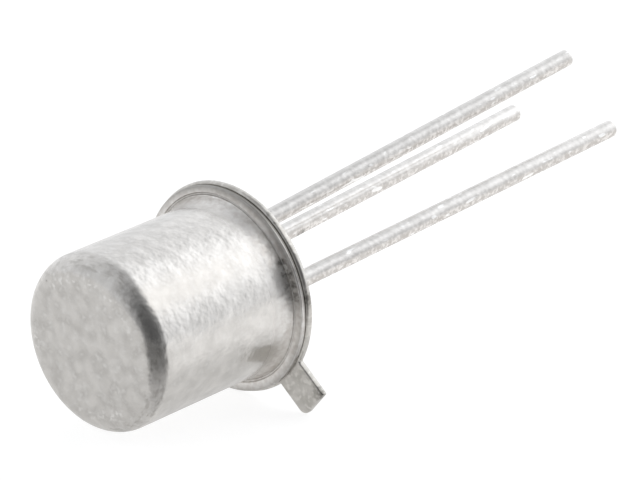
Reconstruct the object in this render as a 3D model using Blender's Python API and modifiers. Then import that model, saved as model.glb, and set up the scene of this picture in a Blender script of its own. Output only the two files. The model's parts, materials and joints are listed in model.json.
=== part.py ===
"""Small metal-can transistor with three wire leads and a locating tab, lying on its side.

A drawn cap is welded over a header. The header is a stamped eyelet filled with glass, which
holds the three leads. On its platform sits the silicon die, wired to the emitter and base posts.

Every piece is drawn about the axis of the can, in millimetres: z = 0 is the underside of the
header, +z points to the closed end of the cap, -y is the side that lies on the table and +x the
side of the tab. One empty then lays the whole part down as it rests: on the shoulder of its cap,
the rim of its header and the corner of its tab, with the leads pointing along +Y.
"""

import math

import bmesh
import bpy
from mathutils import Vector

MM = 0.001

# Cap: a drawn can with a flange at its open end
CAN_HEIGHT = 5.20
CAP_DIAMETER = 4.70
CAP_WALL = 0.20
CAP_END_THICKNESS = 0.22
CAP_SHOULDER_RADIUS = 0.58
CAP_FOOT_RADIUS = 0.20
CAP_FLANGE_DIAMETER = 5.52
CAP_FLANGE_THICKNESS = 0.14

# Header: a stamped eyelet, upside down, with a flange
HEADER_DIAMETER = 5.64
HEADER_FLANGE_THICKNESS = 0.17
EYELET_WALL = 0.18
EYELET_FOOT_RADIUS = 0.12
EYELET_MOUTH_RADIUS = 0.10
PLATFORM_HEIGHT = 1.00
PLATFORM_THICKNESS = 0.25
PLATFORM_OUTER_RADIUS = 0.22
PLATFORM_INNER_RADIUS = 0.10
LEAD_HOLE_DIAMETER = 0.80
SHEET_EDGE_RADIUS = 0.03

# Tab, in the plane of the header's flange. Its length is measured from the rim
TAB_WIDTH = 1.04
TAB_LENGTH = 1.02
TAB_LOWER_CORNER_RADIUS = 0.22
TAB_UPPER_CORNER_RADIUS = 0.05
TAB_ROOT_DEPTH = 0.30

# Leads. Their places are counted in degrees round the axis from the tab, and their length from
# the header's underside. A lean is by how many degrees a lead is bent to +x and to +y
LEAD_DIAMETER = 0.47
LEAD_LENGTH = 13.2
LEAD_CIRCLE_DIAMETER = 2.60
LEAD_BEND_LENGTH = 2.0
LEAD_TIP_LENGTH = 0.10
POST_HEIGHT = 0.45
POST_CHAMFER = 0.03
EMITTER_FROM_TAB = 45
BASE_FROM_TAB = 135
COLLECTOR_FROM_TAB = 225
EMITTER_LEAN = (2.6, 3.7)
BASE_LEAN = (1.85, 6.15)
COLLECTOR_LEAN = (-1.5, 3.05)

# Glass seal: set back from the underside, with a small meniscus climbing each lead
GLASS_RECESS = 0.10
MENISCUS_HEIGHT = 0.08
MENISCUS_WIDTH = 0.18
MENISCUS_LIP = 0.03

# Silicon die on its solder layer
DIE_SIZE = 0.50
DIE_THICKNESS = 0.18
SOLDER_MARGIN = 0.05
SOLDER_THICKNESS = 0.03

# Bond wires, each from a ball on the die to a flat stitch on its post
BOND_WIRE_DIAMETER = 0.03
BOND_BALL_DIAMETER = 0.08
BOND_BALL_HEIGHT = 0.03
BOND_PAD_OFFSET = 0.13
BOND_RISE = 0.40
BOND_STITCH_LENGTH = 0.10
BOND_STITCH_THINNING = 0.6

# Clearances. Pieces that are joined face to face keep the seat gap between their meshes
SEAT_GAP = 0.005
EYELET_CLEARANCE = 0.08
TAB_TABLE_CLEARANCE = 0.01

# Facets and merging
TURN_FACETS = 64
HOLE_FACETS = 24
LEAD_BEVEL_STEPS = 6
BOND_BEVEL_STEPS = 2
SHOULDER_STEPS = 8
BEND_STEPS = 4
EDGE_STEPS = 2
TAB_CORNER_STEPS = 5
LEAD_BEND_STEPS = 8
TIP_ANGLES = (0, 30, 55, 75)
BOND_LOOP_STEPS = 12
SHARP_ANGLE = 35
MERGE_DISTANCE = 0.0002

# Levels and radii that several pieces share
CAP_RADIUS = CAP_DIAMETER / 2
CAP_BORE_RADIUS = CAP_RADIUS - CAP_WALL
CAP_UNDERSIDE = HEADER_FLANGE_THICKNESS + SEAT_GAP
HEADER_RADIUS = HEADER_DIAMETER / 2
EYELET_RADIUS = CAP_BORE_RADIUS - EYELET_CLEARANCE
EYELET_BORE_RADIUS = EYELET_RADIUS - EYELET_WALL
PLATFORM_UNDERSIDE = PLATFORM_HEIGHT - PLATFORM_THICKNESS
PLATFORM_CORNER = (EYELET_BORE_RADIUS - PLATFORM_INNER_RADIUS, PLATFORM_UNDERSIDE - PLATFORM_INNER_RADIUS)
LEAD_RADIUS = LEAD_DIAMETER / 2
POST_TOP = PLATFORM_HEIGHT + POST_HEIGHT
SOLDER_UNDERSIDE = PLATFORM_HEIGHT + SEAT_GAP
SOLDER_TOP = SOLDER_UNDERSIDE + SOLDER_THICKNESS
DIE_UNDERSIDE = SOLDER_TOP + SEAT_GAP
DIE_TOP = DIE_UNDERSIDE + DIE_THICKNESS


def clear_radius(radius):
    """Radius of a faceted hole that keeps the seat gap all round a rod of this radius."""
    return (radius + SEAT_GAP) / math.cos(math.pi / HOLE_FACETS)


def arc(centre, radii, start, end, steps):
    """Points of an ellipse's arc, from one angle to another in degrees."""
    angles = [math.radians(start + (end - start) * step / steps) for step in range(steps + 1)]
    return [(centre[0] + radii[0] * math.cos(angle), centre[1] + radii[1] * math.sin(angle)) for angle in angles]


def round_arc(centre, radius, start, end, steps):
    """Points of a circle's arc, from one angle to another in degrees."""
    return arc(centre, (radius, radius), start, end, steps)


def rest_tilt():
    """Angle between the can's axis and the table, in radians.

    The table touches two circles from below: the rounded edge of the header's rim and the
    shoulder of the cap.
    """
    rise = (HEADER_RADIUS - SHEET_EDGE_RADIUS) - (CAP_RADIUS - CAP_SHOULDER_RADIUS)
    run = (CAN_HEIGHT - CAP_SHOULDER_RADIUS) - (HEADER_FLANGE_THICKNESS - SHEET_EDGE_RADIUS)
    difference = CAP_SHOULDER_RADIUS - SHEET_EDGE_RADIUS
    return math.acos(difference / math.hypot(rise, run)) - math.atan2(run, rise)


def tab_angle():
    """Direction of the tab about the axis, in radians from +x.

    The lower corner of the tab reaches down as far as the rim does, straight below the axis.
    """
    along = HEADER_RADIUS + TAB_LENGTH - TAB_LOWER_CORNER_RADIUS
    across = TAB_WIDTH / 2 - TAB_LOWER_CORNER_RADIUS
    depth = HEADER_RADIUS - TAB_TABLE_CLEARANCE - TAB_LOWER_CORNER_RADIUS
    return math.acos(depth / math.hypot(along, across)) + math.atan2(across, along) - math.pi / 2


def post_angle(from_tab):
    """Direction of a lead about the axis, in radians from +x."""
    return tab_angle() + math.radians(from_tab)


def lead_place(from_tab):
    """Centre of a lead on the lead circle."""
    radius = LEAD_CIRCLE_DIAMETER / 2
    return Vector((radius * math.cos(post_angle(from_tab)), radius * math.sin(post_angle(from_tab)), 0))


def metal(name, colour, roughness):
    """A bare metal surface."""
    return surface(name, colour, roughness, 1)


def surface(name, colour, roughness, metallic):
    """A Principled material."""
    made = bpy.data.materials.new(name)
    made.use_nodes = True
    shader = made.node_tree.nodes["Principled BSDF"]
    shader.inputs["Base Color"].default_value = (*colour, 1)
    shader.inputs["Roughness"].default_value = roughness
    shader.inputs["Metallic"].default_value = metallic
    return made


def add(name, data, collection):
    """A new object in a collection."""
    made = bpy.data.objects.new(name, data)
    collection.objects.link(made)
    return made


def mesh_from(cage, name):
    """The mesh of a bmesh, with its doubles merged."""
    bmesh.ops.remove_doubles(cage, verts=cage.verts, dist=MERGE_DISTANCE * MM)
    mesh = bpy.data.meshes.new(name)
    cage.to_mesh(mesh)
    cage.free()
    return mesh


def applied_mesh(piece):
    """The mesh of an object with its modifiers, or its curve's bevel, applied."""
    bpy.context.view_layer.update()
    graph = bpy.context.evaluated_depsgraph_get()
    cage = bmesh.new()
    cage.from_mesh(bpy.data.meshes.new_from_object(piece.evaluated_get(graph)))
    return mesh_from(cage, piece.name)


def turned(name, profile, collection, facets=TURN_FACETS):
    """A turned piece: a profile of (radius, height) points, carried round the axis.

    The piece is turned by half a facet, so that the flat of a facet lies lowest, and not a
    corner.
    """
    mesh = bpy.data.meshes.new(name)
    points = [(radius * MM, 0, height * MM) for radius, height in profile]
    edges = [(index, index + 1) for index in range(len(points) - 1)]
    mesh.from_pydata(points, edges, [])
    made = add(name, mesh, collection)
    made.rotation_euler.z = math.pi / facets
    screw = made.modifiers.new("turn", "SCREW")
    screw.steps = facets
    screw.render_steps = facets
    screw.use_merge_vertices = True
    screw.merge_threshold = MERGE_DISTANCE * MM
    return made


def rod(name, place, bottom, top, radius, collection):
    """A short round rod along the axis, for a hole or a plug."""
    cage = bmesh.new()
    bmesh.ops.create_cone(
        cage,
        cap_ends=True,
        segments=HOLE_FACETS,
        radius1=radius * MM,
        radius2=radius * MM,
        depth=(top - bottom) * MM,
    )
    made = add(name, mesh_from(cage, name), collection)
    made.location = Vector((place.x, place.y, (bottom + top) / 2)) * MM
    return made


def square_plate(name, width, bottom, top, collection):
    """A square plate on the axis, in line with the tab."""
    cage = bmesh.new()
    bmesh.ops.create_cube(cage, size=1)
    bmesh.ops.scale(cage, verts=cage.verts, vec=Vector((width, width, top - bottom)) * MM)
    made = add(name, mesh_from(cage, name), collection)
    made.location.z = (bottom + top) / 2 * MM
    made.rotation_euler.z = tab_angle()
    return made


def wire(name, points, shares, diameter, bevel_steps, collection):
    """A round wire along points in millimetres, with a share of its full radius at each."""
    curve = bpy.data.curves.new(name, "CURVE")
    curve.dimensions = "3D"
    curve.bevel_depth = diameter / 2 * MM
    curve.bevel_resolution = bevel_steps
    curve.use_fill_caps = True
    spline = curve.splines.new("POLY")
    spline.points.add(len(points) - 1)
    for knot, point, share in zip(spline.points, points, shares):
        knot.co = (*(Vector(point) * MM), 1)
        knot.radius = share
    return add(name, curve, collection)


def combine(piece, tool, operation):
    """Adds a tool to a piece, or cuts it out."""
    boolean = piece.modifiers.new(tool.name, "BOOLEAN")
    boolean.operation = operation
    boolean.solver = "EXACT"
    boolean.object = tool
    tool.hide_render = True
    tool.display_type = "WIRE"


def cap_profile():
    """Section of the cap: down the outside, round the flange and up the inside."""
    edge = SHEET_EDGE_RADIUS
    flange = CAP_FLANGE_DIAMETER / 2 - edge
    flange_top = CAP_UNDERSIDE + CAP_FLANGE_THICKNESS
    foot = (CAP_RADIUS + CAP_FOOT_RADIUS, flange_top + CAP_FOOT_RADIUS)
    mouth_radii = (foot[0] - CAP_BORE_RADIUS, foot[1] - CAP_UNDERSIDE)
    shoulder = (CAP_RADIUS - CAP_SHOULDER_RADIUS, CAN_HEIGHT - CAP_SHOULDER_RADIUS)
    ceiling = CAN_HEIGHT - CAP_END_THICKNESS
    inner_radius = max(CAP_SHOULDER_RADIUS - CAP_WALL, edge)
    inner_shoulder = (CAP_BORE_RADIUS - inner_radius, ceiling - inner_radius)
    points = [(0, CAN_HEIGHT)]
    points += round_arc(shoulder, CAP_SHOULDER_RADIUS, 90, 0, SHOULDER_STEPS)
    points += round_arc(foot, CAP_FOOT_RADIUS, 180, 270, BEND_STEPS)
    points += round_arc((flange, flange_top - edge), edge, 90, 0, EDGE_STEPS)
    points += round_arc((flange, CAP_UNDERSIDE + edge), edge, 0, -90, EDGE_STEPS)
    points += arc(foot, mouth_radii, 270, 180, BEND_STEPS)
    points += round_arc(inner_shoulder, inner_radius, 0, 90, BEND_STEPS)
    points += [(0, ceiling)]
    return points


def header_profile():
    """Section of the eyelet: over its platform, down the cup, round the flange and back up inside."""
    edge = SHEET_EDGE_RADIUS
    rim = HEADER_RADIUS - edge
    top = (EYELET_RADIUS - PLATFORM_OUTER_RADIUS, PLATFORM_HEIGHT - PLATFORM_OUTER_RADIUS)
    foot = (EYELET_RADIUS + EYELET_FOOT_RADIUS, HEADER_FLANGE_THICKNESS + EYELET_FOOT_RADIUS)
    mouth = (EYELET_BORE_RADIUS + EYELET_MOUTH_RADIUS, EYELET_MOUTH_RADIUS)
    points = [(0, PLATFORM_HEIGHT)]
    points += round_arc(top, PLATFORM_OUTER_RADIUS, 90, 0, BEND_STEPS)
    points += round_arc(foot, EYELET_FOOT_RADIUS, 180, 270, EDGE_STEPS)
    points += round_arc((rim, HEADER_FLANGE_THICKNESS - edge), edge, 90, 0, EDGE_STEPS)
    points += round_arc((rim, edge), edge, 0, -90, EDGE_STEPS)
    points += round_arc(mouth, EYELET_MOUTH_RADIUS, 270, 180, EDGE_STEPS)
    points += round_arc(PLATFORM_CORNER, PLATFORM_INNER_RADIUS, 0, 90, EDGE_STEPS)
    points += [(0, PLATFORM_UNDERSIDE)]
    return points


def glass_profile():
    """Section of the glass that fills the cup, from the platform's underside to the recess."""
    points = [(0, PLATFORM_UNDERSIDE - SEAT_GAP)]
    points += round_arc(PLATFORM_CORNER, PLATFORM_INNER_RADIUS - SEAT_GAP, 90, 0, EDGE_STEPS)
    points += [(EYELET_BORE_RADIUS - SEAT_GAP, GLASS_RECESS), (0, GLASS_RECESS)]
    return points


def meniscus_profile(root):
    """Section of the glass that climbs a lead: a hollow curve below the recess, rooted above it."""
    lip = LEAD_RADIUS + MENISCUS_LIP
    spread = lip + MENISCUS_WIDTH
    end = GLASS_RECESS - MENISCUS_HEIGHT
    points = [(0, root), (spread, root)]
    points += arc((spread, end), (MENISCUS_WIDTH, MENISCUS_HEIGHT), 90, 180, BEND_STEPS)
    points += [(0, end)]
    return points


def make_tab(cutters):
    """The tab: a flat outline with its two corners rounded, rooted inside the flange."""
    half = TAB_WIDTH / 2
    tip = HEADER_RADIUS + TAB_LENGTH
    root = HEADER_RADIUS - TAB_ROOT_DEPTH
    lower = TAB_LOWER_CORNER_RADIUS
    upper = TAB_UPPER_CORNER_RADIUS
    outline = [(root, -half)]
    outline += round_arc((tip - lower, lower - half), lower, -90, 0, TAB_CORNER_STEPS)
    outline += round_arc((tip - upper, half - upper), upper, 0, 90, EDGE_STEPS)
    outline += [(root, half)]
    curve = bpy.data.curves.new("tab_outline", "CURVE")
    curve.dimensions = "2D"
    curve.fill_mode = "BOTH"
    curve.extrude = HEADER_FLANGE_THICKNESS / 2 * MM
    spline = curve.splines.new("POLY")
    spline.points.add(len(outline) - 1)
    spline.use_cyclic_u = True
    for knot, (along, across) in zip(spline.points, outline):
        knot.co = (along * MM, across * MM, 0, 1)
    drawn = add("tab_outline", curve, cutters)
    tab = add("tab", applied_mesh(drawn), cutters)
    bpy.data.objects.remove(drawn)
    tab.location.z = HEADER_FLANGE_THICKNESS / 2 * MM
    tab.rotation_euler.z = tab_angle()
    return tab


def make_header(parts, cutters):
    """The eyelet with its tab, and a hole in its platform for each lead that rises through it."""
    header = turned("header", header_profile(), parts)
    combine(header, make_tab(cutters), "UNION")
    for from_tab in (EMITTER_FROM_TAB, BASE_FROM_TAB):
        bottom = PLATFORM_UNDERSIDE - PLATFORM_THICKNESS
        top = PLATFORM_HEIGHT + PLATFORM_THICKNESS
        hole = rod(f"hole_{from_tab}", lead_place(from_tab), bottom, top, LEAD_HOLE_DIAMETER / 2, cutters)
        combine(header, hole, "DIFFERENCE")
    return header


def make_glass_seal(parts, cutters):
    """The glass: a disc in the cup, plugs in the platform's holes, menisci and lead bores."""
    glass = turned("glass_seal", glass_profile(), parts)
    middle = (GLASS_RECESS + PLATFORM_UNDERSIDE) / 2
    for from_tab in (EMITTER_FROM_TAB, BASE_FROM_TAB):
        radius = LEAD_HOLE_DIAMETER / 2 - SEAT_GAP
        plug = rod(f"plug_{from_tab}", lead_place(from_tab), middle, PLATFORM_HEIGHT, radius, cutters)
        combine(glass, plug, "UNION")
    for from_tab in (EMITTER_FROM_TAB, BASE_FROM_TAB, COLLECTOR_FROM_TAB):
        meniscus = turned(f"meniscus_{from_tab}", meniscus_profile(middle), cutters, HOLE_FACETS)
        meniscus.location = lead_place(from_tab) * MM
        combine(glass, meniscus, "UNION")
    for from_tab in (EMITTER_FROM_TAB, BASE_FROM_TAB, COLLECTOR_FROM_TAB):
        bottom = -PLATFORM_HEIGHT
        top = 2 * PLATFORM_HEIGHT
        bore = rod(f"bore_{from_tab}", lead_place(from_tab), bottom, top, clear_radius(LEAD_RADIUS), cutters)
        combine(glass, bore, "DIFFERENCE")
    return glass


def make_lead(name, from_tab, lean, head, parts):
    """A lead: its head, a straight stretch through the glass, a slow bend and a rounded tip.

    Below the header the lead leaves its straight place along a parabola, and runs on straight
    after it. The head is a list of (height, share of the radius) above the header's underside.
    """
    slopes = [math.tan(math.radians(degrees)) for degrees in lean]

    def below(distance):
        """Point of the centre line this far below the header's underside."""
        if distance < LEAD_BEND_LENGTH:
            drift = distance**2 / (2 * LEAD_BEND_LENGTH)
        else:
            drift = distance - LEAD_BEND_LENGTH / 2
        return (slopes[0] * drift, slopes[1] * drift, -distance)

    points = [(0, 0, height) for height, _ in head]
    shares = [share for _, share in head]
    for step in range(LEAD_BEND_STEPS + 1):
        points.append(below(LEAD_BEND_LENGTH * step / LEAD_BEND_STEPS))
        shares.append(1)
    for degrees in TIP_ANGLES:
        angle = math.radians(degrees)
        points.append(below(LEAD_LENGTH - LEAD_TIP_LENGTH * (1 - math.sin(angle))))
        shares.append(math.cos(angle))
    lead = wire(name, points, shares, LEAD_DIAMETER, LEAD_BEVEL_STEPS, parts)
    lead.location = lead_place(from_tab) * MM
    return lead


def make_bond_wire(name, from_tab, parts):
    """A bond wire: a ball on the die, a cubic loop, and a stitch pressed flat on the post."""
    radius = BOND_WIRE_DIAMETER / 2
    ball_share = BOND_BALL_DIAMETER / BOND_WIRE_DIAMETER
    foot = DIE_TOP + SEAT_GAP
    neck = Vector((BOND_PAD_OFFSET, foot + BOND_BALL_HEIGHT + radius))
    stitch = Vector((LEAD_CIRCLE_DIAMETER / 2 - BOND_STITCH_LENGTH / 2, POST_TOP + SEAT_GAP + radius))
    above_neck = neck + Vector((0, BOND_RISE))
    before_stitch = stitch + Vector((-BOND_RISE, BOND_RISE / 2))
    points = [(neck.x, 0, foot), (neck.x, 0, foot + BOND_BALL_HEIGHT)]
    shares = [ball_share, ball_share]
    for step in range(BOND_LOOP_STEPS + 1):
        late = step / BOND_LOOP_STEPS
        early = 1 - late
        point = early**3 * neck + 3 * early**2 * late * above_neck
        point += 3 * early * late**2 * before_stitch + late**3 * stitch
        points.append((point.x, 0, point.y))
        shares.append(1)
    points.append((stitch.x + BOND_STITCH_LENGTH, 0, stitch.y))
    shares.append(BOND_STITCH_THINNING)
    made = wire(name, points, shares, BOND_WIRE_DIAMETER, BOND_BEVEL_STEPS, parts)
    made.rotation_euler.z = post_angle(from_tab)
    return made


def finish(piece, coat, rest):
    """Makes a piece a plain mesh, smooth on its round faces, coated, and parented to the empty."""
    mesh = applied_mesh(piece)
    mesh.shade_smooth()
    mesh.set_sharp_from_angle(angle=math.radians(SHARP_ANGLE))
    mesh.materials.clear()
    mesh.materials.append(coat)
    name = piece.name
    collection = piece.users_collection[0]
    location = piece.location.copy()
    rotation = piece.rotation_euler.copy()
    bpy.data.objects.remove(piece)
    made = add(name, mesh, collection)
    made.location = location
    made.rotation_euler = rotation
    made.parent = rest


def lay_down(rest, parts):
    """Lays the part on z = 0 with its box centred on the origin in X and Y."""
    rest.rotation_euler.x = math.pi / 2 + rest_tilt()
    bpy.context.view_layer.update()
    corners = [
        piece.matrix_world @ vertex.co
        for piece in parts.objects
        if piece.type == "MESH"
        for vertex in piece.data.vertices
    ]
    low = Vector([min(corner[axis] for corner in corners) for axis in range(3)])
    high = Vector([max(corner[axis] for corner in corners) for axis in range(3)])
    rest.location = Vector((-(low.x + high.x) / 2, -(low.y + high.y) / 2, -low.z))


def main():
    for old in list(bpy.data.objects):
        bpy.data.objects.remove(old)
    parts = bpy.data.collections.new("transistor")
    cutters = bpy.data.collections.new("cutters")
    bpy.context.scene.collection.children.link(parts)
    bpy.context.scene.collection.children.link(cutters)

    nickel = metal("drawn_nickel", (0.62, 0.61, 0.59), 0.38)
    plating = metal("plated_header", (0.55, 0.54, 0.51), 0.42)
    tin = metal("tinned_wire", (0.72, 0.72, 0.71), 0.30)
    gold = metal("bond_gold", (0.95, 0.70, 0.30), 0.25)
    silicon = surface("silicon", (0.16, 0.17, 0.19), 0.15, 0.4)
    glass = surface("seal_glass", (0.20, 0.25, 0.24), 0.10, 0)

    post = [(POST_TOP, 1 - POST_CHAMFER / LEAD_RADIUS), (POST_TOP - POST_CHAMFER, 1)]
    butt = [(PLATFORM_UNDERSIDE - SEAT_GAP, 1)]
    solder_size = DIE_SIZE + 2 * SOLDER_MARGIN
    coats = [
        (turned("cap", cap_profile(), parts), nickel),
        (make_header(parts, cutters), plating),
        (make_glass_seal(parts, cutters), glass),
        (make_lead("emitter_lead", EMITTER_FROM_TAB, EMITTER_LEAN, post, parts), tin),
        (make_lead("base_lead", BASE_FROM_TAB, BASE_LEAN, post, parts), tin),
        (make_lead("collector_lead", COLLECTOR_FROM_TAB, COLLECTOR_LEAN, butt, parts), tin),
        (square_plate("die_attach", solder_size, SOLDER_UNDERSIDE, SOLDER_TOP, parts), gold),
        (square_plate("die", DIE_SIZE, DIE_UNDERSIDE, DIE_TOP, parts), silicon),
        (make_bond_wire("emitter_bond_wire", EMITTER_FROM_TAB, parts), gold),
        (make_bond_wire("base_bond_wire", BASE_FROM_TAB, parts), gold),
    ]
    rest = bpy.data.objects.new("rest_pose", None)
    parts.objects.link(rest)
    for piece, coat in coats:
        finish(piece, coat, rest)
    for tool in list(cutters.objects):
        bpy.data.objects.remove(tool)
    bpy.data.collections.remove(cutters)
    lay_down(rest, parts)


main()
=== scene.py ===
"""A small metal-can transistor on a white table, seen from the closed end of its can.

The shapes are worked out in the can's own frame, in millimetres: z = 0 is the underside of the
header, +z points to the closed end, -y is the side that lies on the table and +x the side of the
tab. One function then carries their points to the frame of the part.
"""

import json
import math

import bpy
import numpy as np
from mathutils import Matrix, Vector


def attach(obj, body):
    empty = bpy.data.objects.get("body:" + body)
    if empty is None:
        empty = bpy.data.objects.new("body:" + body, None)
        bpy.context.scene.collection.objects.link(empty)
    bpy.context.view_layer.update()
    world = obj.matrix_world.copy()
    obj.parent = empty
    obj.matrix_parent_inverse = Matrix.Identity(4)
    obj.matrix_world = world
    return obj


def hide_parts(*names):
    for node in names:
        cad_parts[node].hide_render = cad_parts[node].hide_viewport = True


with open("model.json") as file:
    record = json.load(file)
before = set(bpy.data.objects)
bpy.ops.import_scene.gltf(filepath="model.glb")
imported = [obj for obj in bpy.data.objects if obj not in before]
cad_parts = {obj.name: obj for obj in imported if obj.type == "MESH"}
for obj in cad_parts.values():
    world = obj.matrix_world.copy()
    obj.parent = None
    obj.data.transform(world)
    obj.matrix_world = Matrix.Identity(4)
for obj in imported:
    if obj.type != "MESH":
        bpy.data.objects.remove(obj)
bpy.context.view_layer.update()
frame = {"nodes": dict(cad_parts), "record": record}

MM = 0.001

# Cap, as in the part
CAN_HEIGHT = 5.20
CAP_RADIUS = 2.35
CAP_WALL = 0.20
CAP_END_THICKNESS = 0.22
CAP_SHOULDER_RADIUS = 0.58
CAP_FOOT_RADIUS = 0.20
CAP_FLANGE_RADIUS = 2.76
CAP_FLANGE_THICKNESS = 0.14

# What drawing and welding leave on the cap. Its foot is uneven round the can: its width and
# height where it is slight, full and tight, the angle of the full and of the tight side and how
# fast each falls away, and how hollow its curve is (1 is straight, 2 an ellipse)
CAP_FOOT_SLIGHT = (0.09, 0.45)
CAP_FOOT_FULL = (0.16, 0.60)
CAP_FOOT_TIGHT = (0.06, 0.38)
CAP_FOOT_FULL_SIDE = (110, 3)
CAP_FOOT_TIGHT_SIDE = (44, 14)
CAP_FOOT_HOLLOW = 1.35

# The welding ring has pressed a groove round the foot: its half width and depth. The flange rolls
# over at its edge, this far inward and down
WELD_GROOVE = (0.04, 0.05)
CAP_ROLLED_EDGE = (0.04, 0.06)

# Header, as in the part
HEADER_RADIUS = 2.82
HEADER_FLANGE_THICKNESS = 0.17
EYELET_CLEARANCE = 0.08
EYELET_WALL = 0.18
EYELET_FOOT_RADIUS = 0.12
EYELET_MOUTH_RADIUS = 0.10
PLATFORM_HEIGHT = 1.00
PLATFORM_THICKNESS = 0.25
PLATFORM_OUTER_RADIUS = 0.22
PLATFORM_INNER_RADIUS = 0.10
LEAD_HOLE_RADIUS = 0.40
SHEET_EDGE_RADIUS = 0.03
SEAT_GAP = 0.005

# How far stamping rolls the header's upper edge inward and down, on the rim and on the tab
HEADER_ROLLED_RIM = (0.06, 0.09)
HEADER_ROLLED_TAB = (0.05, 0.06)

# Tab, as in the part, with a small round where it leaves the rim
TAB_DEGREES = -40.744
TAB_WIDTH = 1.04
TAB_LENGTH = 1.02
TAB_LOWER_CORNER_RADIUS = 0.22
TAB_UPPER_CORNER_RADIUS = 0.05
TAB_INNER_CORNER_RADIUS = 0.06

# Leads, as in the part. Each one's angle from the tab and its lean are in degrees
LEAD_RADIUS = 0.235
LEAD_LENGTH = 13.2
LEAD_CIRCLE_RADIUS = 1.30
LEAD_BEND_LENGTH = 2.0
LEAD_TIP_LENGTH = 0.10
POST_HEIGHT = 0.45
POST_CHAMFER = 0.03
LEADS = {
    "emitter_lead": {"from_tab": 45, "lean": (2.6, 3.7), "top": PLATFORM_HEIGHT + POST_HEIGHT},
    "base_lead": {"from_tab": 135, "lean": (1.85, 6.15), "top": PLATFORM_HEIGHT + POST_HEIGHT},
    "collector_lead": {
        "from_tab": 225,
        "lean": (-1.5, 3.05),
        "top": PLATFORM_HEIGHT - PLATFORM_THICKNESS - SEAT_GAP,
    },
}

# Glass seal, as in the part
GLASS_RECESS = 0.10
MENISCUS_HEIGHT = 0.08
MENISCUS_WIDTH = 0.18
MENISCUS_LIP = 0.03

# Edges that a cut leaves stay sharp past this many degrees
SHARP_ANGLE = 40

# Steps round the turned pieces, a lead and a rod
CAP_ROUND_STEPS = 384
RIM_ROUND_STEPS = 480
GLASS_ROUND_STEPS = 256
LEAD_ROUND_STEPS = 40
ROD_ROUND_STEPS = 48

# Steps along the stretches that show: the cap's end, shoulder, wall, foot and flange, the tab's
# end, side and lower corner, the header's face, the glass's face, and a lead
CAP_END_STEPS = 34
CAP_SHOULDER_STEPS = 24
CAP_WALL_STEPS = 72
CAP_FOOT_STEPS = 30
CAP_FLANGE_STEPS = 10
TAB_END_STEPS = (14, 10)
TAB_SIDE_STEPS = 26
TAB_CORNER_STEPS = 14
HEADER_FACE_STEPS = 25
GLASS_FACE_STEPS = 70
LEAD_STEPS = 330

# Steps of rolled edges, the weld's groove and a lead's tip, of round corners, of small corners, of
# sheared edges and of a hidden flat ring. Each hidden straight stretch has one of these counts too
ROLLED_STEPS = 12
CORNER_STEPS = 8
SMALL_CORNER_STEPS = 6
EDGE_STEPS = 5
RING_STEPS = 4

# Levels and radii that several pieces share
CAP_BORE_RADIUS = CAP_RADIUS - CAP_WALL
CAP_UNDERSIDE = HEADER_FLANGE_THICKNESS + SEAT_GAP
EYELET_RADIUS = CAP_BORE_RADIUS - EYELET_CLEARANCE
EYELET_BORE_RADIUS = EYELET_RADIUS - EYELET_WALL
PLATFORM_UNDERSIDE = PLATFORM_HEIGHT - PLATFORM_THICKNESS

# Dark marks as the photo shows them: place in the can's frame and radius
CAP_MARKS = (
    ((-1.35, 1.46, 5.16), 0.05),
    ((2.14, 1.30, 0.31), 0.16),
    ((2.33, 1.02, 0.31), 0.20),
    ((2.43, 0.74, 0.31), 0.20),
    ((2.52, 0.45, 0.31), 0.16),
)
HEADER_MARKS = (
    ((1.52, 2.37, 0.13), 0.09),
    ((1.75, 2.21, 0.15), 0.06),
    ((2.80, 0.38, 0.08), 0.24),
    ((3.15, -2.08, 0.16), 0.24),
)
LEAD_MARKS = (
    ((-1.20, -0.11, -3.78), 0.16),
    ((-1.16, -0.06, -3.92), 0.13),
)

# Finishes. The sizes of their patterns are in millimetres, one or one along each axis of the can,
# and a bump's size comes with its depth. The grain of plating and tin is a few thousandths, too
# fine to show, so each pattern is drawn at the size in which the photo shows it
MARK_GRAIN = 0.1
MARK_COVER = 0.85
NICKEL_CLOUDS = 0.5
NICKEL_BLOTCHES = 0.32
NICKEL_SPECKS = 0.16
NICKEL_STREAKS = (1 / 4, 1 / 4, 1 / 12)
NICKEL_MOTTLE = 0.14
NICKEL_WAVES = (1.2, 0.016)
NICKEL_PEEL = (0.2, 0.0125)
NICKEL_DRAW_MARKS = ((1, 1, 1 / 10), 0.0008)
NICK_CLUSTERS = 1.1
NICKS = 0.12
HEADER_CLOUDS = 0.3
HEADER_SPECKS = 0.14
HEADER_SHEAR_MARKS = ((1 / 5, 1 / 5, 2 / 3), 0.006)
HEADER_MOTTLE = (0.14, 0.007)
TIN_CLOUDS = 0.22
TIN_SPECKS = 0.11
TIN_PAINTED_GLINTS = (1 / 6, 1 / 6, 1 / 2)
TIN_RUNS = ((0.35, 0.35, 0.875), 0.006)
TIN_LUMPS = (0.15, 0.005)
GLASS_CLOUDS = 0.4
GLASS_WAVES = (0.5, 0.006)

# Where the cap's finish changes, each from where a change begins to where it is full. Depths below
# its end: rubbed, and scuffed from below and from above. Radii and depths of the ring of nicks
RUBBED_DEPTHS = (0.6, 0.1)
SCUFF_DEPTHS = ((0.6, 0.4), (0.04, 0.12))
NICK_RING = ((1.62, 1.74), (1.96, 1.84))
NICK_DEPTHS = (0.2, 0.1)

# Heights at which the foot stops being painted lighter, and rougher, than the wall: fully below the
# first and no more above the second
FOOT_PAINTED_LIGHT_HEIGHTS = (0.5, 0.9)
FOOT_ROUGH_HEIGHTS = (0.5, 1.0)
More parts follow.
